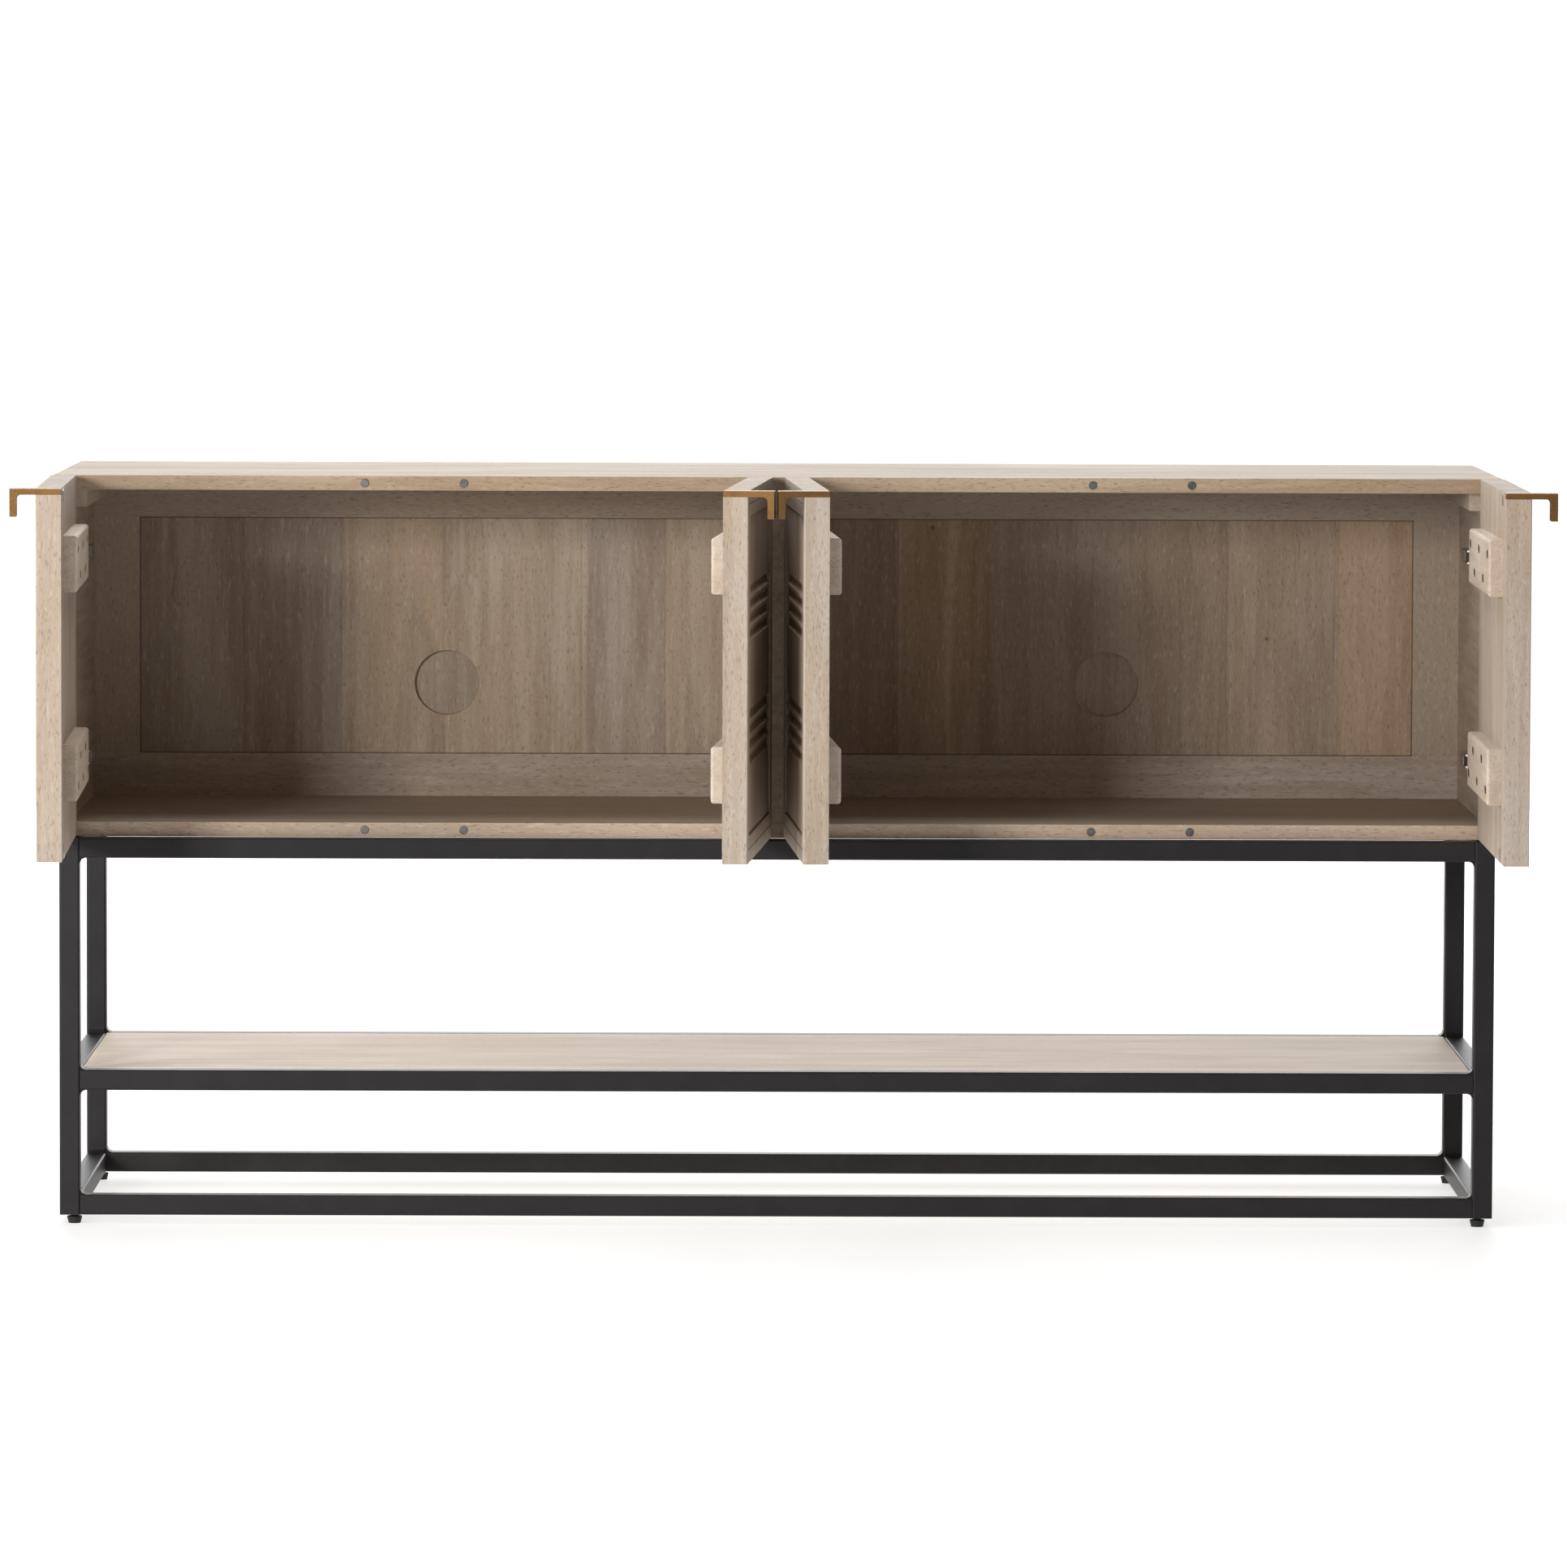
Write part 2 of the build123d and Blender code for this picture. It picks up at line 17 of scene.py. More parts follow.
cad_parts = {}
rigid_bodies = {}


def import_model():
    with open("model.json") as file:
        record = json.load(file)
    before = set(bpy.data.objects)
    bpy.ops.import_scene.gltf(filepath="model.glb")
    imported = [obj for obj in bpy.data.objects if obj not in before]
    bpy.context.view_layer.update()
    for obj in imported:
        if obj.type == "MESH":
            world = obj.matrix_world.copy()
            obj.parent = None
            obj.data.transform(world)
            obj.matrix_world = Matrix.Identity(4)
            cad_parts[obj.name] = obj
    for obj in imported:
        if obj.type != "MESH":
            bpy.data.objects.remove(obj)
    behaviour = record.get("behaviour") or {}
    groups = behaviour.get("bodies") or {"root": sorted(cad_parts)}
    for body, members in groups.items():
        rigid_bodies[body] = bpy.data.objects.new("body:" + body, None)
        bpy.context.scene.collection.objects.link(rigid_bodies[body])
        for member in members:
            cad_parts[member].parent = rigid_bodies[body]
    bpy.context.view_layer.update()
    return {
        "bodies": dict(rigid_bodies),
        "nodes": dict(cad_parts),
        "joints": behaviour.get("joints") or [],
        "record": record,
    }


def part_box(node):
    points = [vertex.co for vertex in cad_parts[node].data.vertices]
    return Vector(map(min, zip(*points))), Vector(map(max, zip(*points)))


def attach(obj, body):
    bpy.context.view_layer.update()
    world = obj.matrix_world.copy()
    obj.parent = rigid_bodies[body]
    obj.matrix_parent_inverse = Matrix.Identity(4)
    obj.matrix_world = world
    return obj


LOG = logging.getLogger("sideboard")
MM = 0.001
OUTER_SWING = (12.0 * MM, 19.5 * MM)
INNER_SWING = (13.25 * MM, 23.75 * MM)
Colour = tuple[float, float, float]
Place = tuple[float, float, float]
DarkLine = tuple[int, float, float, float]


class Grain(Enum):
    """Direction in which a piece of wood's grain runs."""

    ALONG_X = 0
    ALONG_Y = 1
    ALONG_Z = 2


class Turn(Enum):
    """Side on which a door is hung."""

    LEFT_HUNG = 1
    RIGHT_HUNG = -1


# ---- shader building -------------------------------------------------------------------------------
class ShaderSheet:
    """A material's node sheet, with short ways to add and join nodes."""

    def __init__(self, name: str) -> None:
        """Starts an empty material.

        Args:
            name: The material's name.
        """
        self.material = bpy.data.materials.new(name)
        self.material.use_nodes = True
        self.tree = self.material.node_tree
        self.tree.nodes.clear()
        self.output = self.tree.nodes.new("ShaderNodeOutputMaterial")
        self.surface = self.tree.nodes.new("ShaderNodeBsdfPrincipled")
        self.tree.links.new(self.surface.outputs["BSDF"], self.output.inputs["Surface"])

    def add(self, kind: str, **settings: object) -> bpy.types.Node:
        """Adds a node.

        Args:
            kind: Node type without its ShaderNode prefix.
            settings: Properties of the node.

        Returns:
            The new node.
        """
        node = self.tree.nodes.new("ShaderNode" + kind)
        for key, value in settings.items():
            setattr(node, key, value)
        return node

    def join(self, source: bpy.types.NodeSocket, target: bpy.types.NodeSocket) -> None:
        """Joins two sockets."""
        self.tree.links.new(source, target)

    def place(self, scale: Place, shift: Place = (0.0, 0.0, 0.0)) -> bpy.types.NodeSocket:
        """Object coordinates, stretched and shifted.

        Args:
            scale: Factor along each axis.
            shift: Offset along each axis, after the stretch.

        Returns:
            The vector socket.
        """
        where = self.add("TexCoord")
        mapping = self.add("Mapping")
        mapping.inputs["Scale"].default_value = scale
        mapping.inputs["Location"].default_value = shift
        self.join(where.outputs["Object"], mapping.inputs["Vector"])
        return mapping.outputs["Vector"]

    def noise(self, vector: bpy.types.NodeSocket, scale: float, detail: float = 3.0,
              roughness: float = 0.55, distortion: float = 0.0) -> bpy.types.NodeSocket:
        """A noise pattern.

        Args:
            vector: Where to look the pattern up.
            scale: Cycles per metre.
            detail: Octaves.
            roughness: Weight of the fine octaves.
            distortion: How much the pattern swirls.

        Returns:
            The factor socket.
        """
        node = self.add("TexNoise")
        node.inputs["Scale"].default_value = scale
        node.inputs["Detail"].default_value = detail
        node.inputs["Roughness"].default_value = roughness
        node.inputs["Distortion"].default_value = distortion
        self.join(vector, node.inputs["Vector"])
        return node.outputs["Fac"]

    def curve(self, value: bpy.types.NodeSocket, low: float, high: float, start: float = 0.0,
              end: float = 1.0) -> bpy.types.NodeSocket:
        """Maps low..high to start..end, clamped.

        Args:
            value: The input.
            low: Input that gives start.
            high: Input that gives end.
            start: Output at low.
            end: Output at high.

        Returns:
            The result socket.
        """
        node = self.add("MapRange", interpolation_type="SMOOTHSTEP")
        for key, number in (("From Min", low), ("From Max", high), ("To Min", start), ("To Max", end)):
            node.inputs[key].default_value = number
        self.join(value, node.inputs["Value"])
        return node.outputs["Result"]

    def combine(self, first: bpy.types.NodeSocket, second: bpy.types.NodeSocket | float,
               operation: str = "ADD") -> bpy.types.NodeSocket:
        """Joins two numbers by arithmetic.

        Args:
            first: First number.
            second: Second number, a socket or a constant.
            operation: Name of the operation.

        Returns:
            The result socket.
        """
        node = self.add("Math", operation=operation)
        self.join(first, node.inputs[0])
        if isinstance(second, (int, float)):
            node.inputs[1].default_value = second
        else:
            self.join(second, node.inputs[1])
        return node.outputs[0]

    def mix(self, factor: bpy.types.NodeSocket | float, first: bpy.types.NodeSocket | Colour,
            second: bpy.types.NodeSocket | Colour, blend: str = "MIX") -> bpy.types.NodeSocket:
        """Mixes two colours.

        Args:
            factor: Share of the second colour.
            first: First colour.
            second: Second colour.
            blend: Way of blending.

        Returns:
            The colour socket.
        """
        node = self.add("Mix", data_type="RGBA", blend_type=blend)
        for key, value in ((0, factor), (6, first), (7, second)):
            if isinstance(value, bpy.types.NodeSocket):
                self.join(value, node.inputs[key])
            elif isinstance(value, tuple):
                node.inputs[key].default_value = (*value, 1.0)
            else:
                node.inputs[key].default_value = value
        return node.outputs[2]

    def bump(self, height: bpy.types.NodeSocket, strength: float, distance: float) -> None:
        """Puts a bump under the surface.

        Args:
            height: The height pattern.
            strength: Weight of the bump.
            distance: Height in metres.
        """
        node = self.add("Bump")
        node.inputs["Strength"].default_value = strength
        node.inputs["Distance"].default_value = distance
        self.join(height, node.inputs["Height"])
        self.join(node.outputs["Normal"], self.surface.inputs["Normal"])

    def place_in_span(self, value: bpy.types.NodeSocket, low: float, high: float) -> bpy.types.NodeSocket:
        """Maps low..high to 0..1 in a straight line.

        Args:
            value: The input.
            low: Input that gives 0.
            high: Input that gives 1.

        Returns:
            The result socket.
        """
        node = self.add("MapRange", interpolation_type="LINEAR")
        node.inputs["From Min"].default_value = low
        node.inputs["From Max"].default_value = high
        self.join(value, node.inputs["Value"])
        return node.outputs["Result"]


# ---- finishes --------------------------------------------------------------------------------------
@dataclass(frozen=True)
class Stave:
    """One board of a glued-up panel."""

    start: float
    tint: Colour
    gold: float = 0.0


@dataclass(frozen=True)
class Knot:
    """A knot in the wood: its centre and radius in metres."""

    centre: Place
    radius: float


@dataclass(frozen=True)
class Figure:
    """How the wood's patterns are scaled: stretch along the grain, and cycles per metre across it."""

    board_stretch: float = 0.13
    fibre_stretch: float = 0.06
    speck_stretch: float = 0.22
    cloud_stretch: float = 0.45
    flame_scale: float = 13.0
    flame_share: float = 0.55
    streak_scale: float = 95.0
    streak_share: float = 0.45
    half_range: float = 0.14
    cloud_scale: float = 5.0
    pore_scale: float = 620.0
    pore_colour: Colour = (0.15, 0.105, 0.075)
    wash_scale: float = 330.0
    bump_depth: float = 0.6 * MM


FIGURE = Figure()


@dataclass(frozen=True)
class WashedWood:
    """Open-pored hardwood with a pale wash."""

    name: str
    grain: Grain
    seed: float = 0.0
    pale: Colour = (0.50, 0.415, 0.335)
    deep: Colour = (0.35, 0.272, 0.205)
    honey: Colour = (0.42, 0.305, 0.20)
    wash: Colour = (0.60, 0.53, 0.46)
    pores: float = 0.50
    staves: tuple[Stave, ...] = ()
    stave_axis: Grain = Grain.ALONG_X
    stave_span: tuple[float, float] = (-1.0, 1.0)
    knots: tuple[Knot, ...] = ()
    # Factor on faces that look to the front: painted shade below 1, painted highlight above 1.
    painted_front_light: Colour | None = None
    # Dark straight lines: glue joints between staves and painted shadow lines at the panel's frame.
    joint_and_shadow_lines: tuple[DarkLine, ...] = ()

    def sheet(self) -> bpy.types.Material:
        """Builds the finish.

        Returns:
            The material.
        """
        s = ShaderSheet(self.name)
        boards = self.coordinates(s, FIGURE.board_stretch)
        fibres = self.coordinates(s, FIGURE.fibre_stretch)
        specks = self.coordinates(s, FIGURE.speck_stretch)
        flame = s.noise(boards, FIGURE.flame_scale, 3.0, 0.5, 0.8)
        streak = s.noise(fibres, FIGURE.streak_scale, 3.0, 0.6, 0.3)
        tone = s.combine(s.combine(flame, FIGURE.flame_share, "MULTIPLY"),
                         s.combine(streak, FIGURE.streak_share, "MULTIPLY"))
        half = FIGURE.half_range
        colour = s.mix(s.curve(tone, 0.5 - half, 0.5 + half), self.deep, self.pale)
        clouds = s.noise(self.coordinates(s, FIGURE.cloud_stretch), FIGURE.cloud_scale, 2.0)
        colour = s.mix(s.curve(clouds, 0.40, 0.68, 0.0, 0.30), colour, self.honey)
        if self.staves:
            colour = self.glue_up(s, colour, boards)
        pore_mask = s.curve(s.noise(specks, FIGURE.pore_scale, 2.0, 0.5), 0.585, 0.68)
        colour = s.mix(s.combine(pore_mask, self.pores, "MULTIPLY"), colour, FIGURE.pore_colour)
        wash = s.curve(s.noise(specks, FIGURE.wash_scale, 2.0, 0.6), 0.52, 0.75, 0.0, 0.30)
        colour = s.mix(wash, colour, self.wash)
        for knot in self.knots:
            colour = self.add_knot(s, colour, knot)
        if self.joint_and_shadow_lines:
            colour = self.add_joints_and_shadow_lines(s, colour)
        if self.painted_front_light:
            colour = self.paint_front_light(s, colour)
        s.join(colour, s.surface.inputs["Base Color"])
        s.join(s.curve(streak, 0.3, 0.7, 0.62, 0.52), s.surface.inputs["Roughness"])
        s.surface.inputs["Specular IOR Level"].default_value = 0.3
        height = s.combine(s.combine(pore_mask, -0.7, "MULTIPLY"), s.combine(streak, 0.5, "MULTIPLY"))
        s.bump(height, 0.22, FIGURE.bump_depth)
        return s.material

    def paint_front_light(self, s: ShaderSheet, colour: bpy.types.NodeSocket) -> bpy.types.NodeSocket:
        """Paints light onto the faces that look to the front: their colour is multiplied by a factor,
        painted shade below 1 and a painted highlight above 1.

        Args:
            s: The sheet to add to.
            colour: The wood's colour so far.

        Returns:
            The new colour.
        """
        split = s.add("SeparateXYZ")
        s.join(s.add("NewGeometry").outputs["Normal"], split.inputs[0])
        front = s.curve(split.outputs[1], -0.9, -0.5, 1.0, 0.0)
        return s.mix(front, colour, s.mix(1.0, colour, self.painted_front_light, "MULTIPLY"))

    def add_joints_and_shadow_lines(self, s: ShaderSheet, colour: bpy.types.NodeSocket) -> bpy.types.NodeSocket:
        """Darkens thin straight lines, real glue joints and painted shadow lines: each has its axis, its
        place, its half width and its weight.

        Args:
            s: The sheet to add to.
            colour: The wood's colour so far.

        Returns:
            The new colour.
        """
        split = s.add("SeparateXYZ")
        s.join(s.place((1.0, 1.0, 1.0)), split.inputs[0])
        for axis, place, half, weight in self.joint_and_shadow_lines:
            away = s.combine(s.combine(split.outputs[axis], place, "SUBTRACT"), 0.0, "ABSOLUTE")
            # Dark line colour: real glue joints between staves and painted shadow along the panel's frame.
            colour = s.mix(s.curve(away, half * 0.5, half * 1.5, weight, 0.0), colour, (0.09, 0.062, 0.045))
        return colour

    def coordinates(self, s: ShaderSheet, along: float) -> bpy.types.NodeSocket:
        """Coordinates stretched along the grain and shifted by the seed.

        Args:
            s: The sheet to add to.
            along: Factor along the grain; the other two axes keep 1.

        Returns:
            The vector socket.
        """
        stretch = tuple(along if axis == self.grain.value else 1.0 for axis in range(3))
        return s.place(stretch, (self.seed * 1.7, self.seed * 2.3, self.seed * 0.9))

    def glue_up(self, s: ShaderSheet, colour: bpy.types.NodeSocket,
                boards: bpy.types.NodeSocket) -> bpy.types.NodeSocket:
        """Tints each stave of a glued-up panel and lets honey-coloured heartwood run in some.

        Args:
            s: The sheet to add to.
            colour: The wood's colour so far.
            boards: Coordinates stretched along the grain.

        Returns:
            The new colour.
        """
        low, high = self.stave_span
        split = s.add("SeparateXYZ")
        s.join(s.place((1.0, 1.0, 1.0)), split.inputs[0])
        position = s.place_in_span(split.outputs[self.stave_axis.value], low, high)
        ramp = s.add("ValToRGB")
        ramp.color_ramp.interpolation = "CONSTANT"
        stops = ramp.color_ramp.elements
        while len(stops) < len(self.staves):
            stops.new(0.5)
        for stop, stave in zip(stops, self.staves):
            stop.position = (stave.start - low) / (high - low)
            stop.color = (*stave.tint, stave.gold)
        s.join(position, ramp.inputs["Fac"])
        colour = s.mix(1.0, colour, ramp.outputs["Color"], "MULTIPLY")
        honey = s.curve(s.noise(boards, 17.0, 2.0, 0.5, 0.9), 0.42, 0.66)
        honey = s.combine(honey, ramp.outputs["Alpha"], "MULTIPLY")
        return s.mix(honey, colour, self.honey)

    @staticmethod
    def add_knot(s: ShaderSheet, colour: bpy.types.NodeSocket, knot: Knot) -> bpy.types.NodeSocket:
        """Darkens a small round knot.

        Args:
            s: The sheet to add to.
            colour: The wood's colour so far.
            knot: The knot.

        Returns:
            The new colour.
        """
        away = s.add("VectorMath", operation="DISTANCE")
        s.join(s.place((1.0, 1.0, 1.0)), away.inputs[0])
        away.inputs[1].default_value = knot.centre
        ring = s.curve(away.outputs["Value"], knot.radius * 2.2, knot.radius, 0.0, 0.45)
        colour = s.mix(ring, colour, (0.30, 0.20, 0.12))
        heart = s.curve(away.outputs["Value"], knot.radius, knot.radius * 0.45, 0.0, 0.75)
        return s.mix(heart, colour, (0.13, 0.085, 0.055))


@dataclass(frozen=True)
class Metal:
    """A metal or coated finish with faint unevenness."""

    name: str
    colour: Colour
    worn: Colour
    metallic: float
    roughness: float
    speckle: float = 260.0
    bump: float = 0.12
    depth: float = 0.0002
    level: float = 0.3

    def sheet(self) -> bpy.types.Material:
        """Builds the finish.

        Returns:
            The material.
        """
        s = ShaderSheet(self.name)
        where = s.place((1.0, 1.0, 1.0))
        cloud = s.noise(where, 24.0, 4.0)
        grit = s.noise(where, self.speckle, 3.0, 0.6)
        patch = s.curve(s.combine(s.combine(cloud, 0.5, "MULTIPLY"), s.combine(grit, 0.5, "MULTIPLY")),
                        0.42, 0.66)
        s.join(s.mix(patch, self.colour, self.worn), s.surface.inputs["Base Color"])
        s.join(s.curve(grit, 0.3, 0.7, self.roughness - 0.06, self.roughness + 0.08),
               s.surface.inputs["Roughness"])
        s.surface.inputs["Metallic"].default_value = self.metallic
        s.surface.inputs["Specular IOR Level"].default_value = self.level
        s.bump(grit, self.bump, self.depth)
        return s.material


IRON = Metal("black_coated_iron", (0.0100, 0.0086, 0.0087), (0.0145, 0.0127, 0.0128), 0.0, 0.42,
             900.0, 0.25, 0.0002, 0.24)
FOOT = Metal("black_foot_plastic", (0.011, 0.011, 0.011), (0.016, 0.016, 0.016), 0.0, 0.5, 500.0)
BRASS = Metal("antique_brass", (0.19, 0.102, 0.038), (0.14, 0.074, 0.026), 1.0, 0.40, 420.0, 0.1)
NICKEL = Metal("nickel_magnet", (0.15, 0.14, 0.13), (0.07, 0.065, 0.06), 1.0, 0.35, 300.0)
HINGE_STEEL = Metal("plated_hinge_steel", (0.40, 0.37, 0.33), (0.26, 0.235, 0.205), 1.0, 0.34, 380.0)
STRIKE_STEEL = Metal("plain_strike_steel", (0.46, 0.44, 0.42), (0.33, 0.31, 0.29), 1.0, 0.45, 380.0)
# Dark fill for the battens' screw pockets: painted shade in the pockets.
POCKET_SHADE = Metal("painted_pocket_shade", (0.035, 0.026, 0.019), (0.055, 0.042, 0.032), 0.0, 0.7, 300.0)
SCREW_STEEL = Metal("dark_screw_steel", (0.20, 0.17, 0.14), (0.12, 0.10, 0.08), 1.0, 0.42, 300.0)


def dress(piece: bpy.types.Object, material: bpy.types.Material) -> None:
    """Gives a piece one material."""
    piece.data.materials.clear()
    piece.data.materials.append(material)


# ---- modelling by hand -----------------------------------------------------------------------------
class Bench:
    """Modelling steps that start from a primitive and work on it in edit mode."""

    @staticmethod
    def clear() -> None:
        """Deselects everything."""
        if bpy.context.mode != "OBJECT":
            bpy.ops.object.mode_set(mode="OBJECT")
        bpy.ops.object.select_all(action="DESELECT")

    @staticmethod
    def pick(piece: bpy.types.Object, mode: str, test: Callable[[Vector, Vector], bool]) -> None:
        """Enters edit mode with only what passes a test selected.

        Args:
            piece: The piece, which becomes the active object.
            mode: EDGE or FACE.
            test: Function of an edge's middle and direction, or of a face's centre and normal.
        """
        bpy.context.view_layer.objects.active = piece
        bpy.ops.object.mode_set(mode="EDIT")
        bpy.ops.mesh.select_mode(type=mode)
        bpy.ops.mesh.select_all(action="DESELECT")
        bpy.ops.object.mode_set(mode="OBJECT")
        mesh = piece.data
        if mode == "FACE":
            for face in mesh.polygons:
                face.select = test(face.center, face.normal)
        else:
            for edge in mesh.edges:
                a, b = (mesh.vertices[i].co for i in edge.vertices)
                edge.select = test((a + b) / 2, (b - a).normalized())
        bpy.ops.object.mode_set(mode="EDIT")

    @staticmethod
    def done() -> None:
        """Leaves edit mode."""
        bpy.ops.object.mode_set(mode="OBJECT")

    @staticmethod
    def box(name: str, size: Place) -> bpy.types.Object:
        """A box centred on the origin.

        Args:
            name: Name of the new object.
            size: Its size along each axis.

        Returns:
            The object.
        """
        Bench.clear()
        bpy.ops.mesh.primitive_cube_add(size=1.0)
        piece = bpy.context.object
        piece.name = name
        piece.scale = size
        bpy.ops.object.transform_apply(location=False, rotation=False, scale=True)
        return piece

    @staticmethod
    def copies(piece: bpy.types.Object, places: Iterable[Matrix], name: str) -> bpy.types.Object:
        """Copies a finished piece to several places and joins the copies.

        Args:
            piece: The piece, which is used up.
            places: Where each copy goes.
            name: Name of the joined object.

        Returns:
            The joined object, at the origin.
        """
        made = []
        for place in places:
            copy = piece.copy()
            copy.data = piece.data.copy()
            bpy.context.collection.objects.link(copy)
            copy.data.transform(place)
            if place.determinant() < 0:
                copy.data.flip_normals()
            made.append(copy)
        bpy.data.objects.remove(piece)
        Bench.clear()
        for copy in made:
            copy.select_set(True)
        bpy.context.view_layer.objects.active = made[0]
        if len(made) > 1:
            bpy.ops.object.join()
        whole = bpy.context.object
        whole.name = name
        return whole


def frame_of(origin: Vector, outward: Vector) -> Matrix:
    """A placement whose +Z points outward.

    Args:
        origin: Where the piece's own origin goes.
        outward: Direction of its +Z.

    Returns:
        The placement.
    """
    return Matrix.Translation(origin) @ outward.to_track_quat("Z", "Y").to_matrix().to_4x4()


@dataclass
class ScrewMaker:
    """Pan-head screws with a cross recess, lying on a surface with their heads outwards."""

    head_radius: float = 4.2 * MM
    head_height: float = 2.0 * MM
    slot_width: float = 1.1 * MM
    slot_depth: float = 1.0 * MM

    def head(self) -> bpy.types.Object:
        """Models one head that stands on Z = 0.

        Returns:
            The head.
        """
        Bench.clear()
        bpy.ops.mesh.primitive_cylinder_add(vertices=20, radius=self.head_radius, depth=self.head_height,
                                            location=(0, 0, self.head_height / 2))
        head = bpy.context.object
        bpy.ops.object.transform_apply(location=True, rotation=False, scale=False)
        Bench.pick(head, "FACE", lambda centre, normal: normal.z > 0.9)
        bpy.ops.mesh.bevel(offset=self.head_height * 0.55, segments=3, affect="EDGES")
        Bench.done()
        for turn in (0.0, math.pi / 2):
            size = (self.head_radius * 1.25, self.slot_width, self.slot_depth * 2)
            cutter = Bench.box("slot_cutter", size)
            lift = Matrix.Translation((0, 0, self.head_height))
            cutter.data.transform(lift @ Matrix.Rotation(turn, 4, "Z"))
            cut = head.modifiers.new("slot", "BOOLEAN")
            cut.object = cutter
            cut.operation = "DIFFERENCE"
            cut.solver = "EXACT"
            Bench.clear()
            head.select_set(True)
            bpy.context.view_layer.objects.active = head
            bpy.ops.object.modifier_apply(modifier=cut.name)
            bpy.data.objects.remove(cutter)
        return head

    def row(self, name: str, places: list[Matrix]) -> bpy.types.Object:
        """Models screws at several places.

        Args:
            name: Name of the joined object.
            places: Placement of each head.

        Returns:
            The screws as one object.
        """
        return Bench.copies(self.head(), places, name)


# ---- sub-assemblies --------------------------------------------------------------------------------
@dataclass
class Stand:
    """Welded square-tube stand with levelling feet."""

    nodes: dict[str, bpy.types.Object]
    tube: float = 25 * MM
    fillet: float = 6 * MM
    corner: float = 2 * MM
    body: str = "cabinet"
    iron_nodes: tuple[str, ...] = ("leg_", "top_rail", "shelf_rail", "base_rail", "shelf_support_tabs")

    def weld_fillets(self) -> bpy.types.Object:
        """Models the small concave welds in the corners between legs and rails.

        Returns:
            All welds as one object.
        """
        r = self.fillet
        bead = Bench.box("weld", (r, self.tube - 2.4 * self.corner, r))
        bead.data.transform(Matrix.Translation((r / 2, 0, r / 2)))
        Bench.pick(bead, "EDGE", lambda c, d: abs(d.y) > 0.9 and c.x > r * 0.9 and c.z > r * 0.9)
        bpy.ops.mesh.bevel(offset=r * 0.93, segments=6, profile=0.12, affect="EDGES")
        Bench.done()
        places = []
        for node in ("leg_front_left", "leg_front_right", "leg_back_left", "leg_back_right"):
            low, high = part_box(node)
            centre = (low + high) / 2
            inward_x = -math.copysign(1.0, centre.x)
            inward_y = 1.0 if "front" in node else -1.0
            for z, up in self.corner_heights():
                flip = Matrix.Diagonal((1.0, 1.0, up, 1.0))
                x_face = centre.x + inward_x * self.tube / 2
                y_face = centre.y + inward_y * self.tube / 2
                places.append(Matrix.Translation((x_face, centre.y, z))
                              @ Matrix.Diagonal((inward_x, 1.0, 1.0, 1.0)) @ flip)
                quarter = Matrix.Rotation(math.radians(90), 4, "Z")
                places.append(Matrix.Translation((centre.x, y_face, z))
                              @ Matrix.Diagonal((1.0, inward_y, 1.0, 1.0)) @ quarter @ flip)
        return Bench.copies(bead, places, "weld_fillets")

    def corner_heights(self) -> list[tuple[float, float]]:
        """Heights of the inner corners, each with +1 where the weld lies above its rail."""
        heights = []
        for level, signs in (("base", (1.0,)), ("shelf", (1.0, -1.0)), ("top", (-1.0,))):
            low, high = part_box(f"{level}_rail_front")
            for sign in signs:
                heights.append((high.z if sign > 0 else low.z, sign))
        return heights

    def build(self) -> None:
        """Dresses the stand and adds the welds."""
        iron = IRON.sheet()
        foot = FOOT.sheet()
        for name, node in self.nodes.items():
            if name.startswith(self.iron_nodes):
                dress(node, iron)
        dress(self.nodes["levelling_feet"], foot)
        welds = self.weld_fillets()
        dress(welds, iron)
        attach(welds, self.body)
        LOG.info("stand: %d weld faces", len(welds.data.polygons))


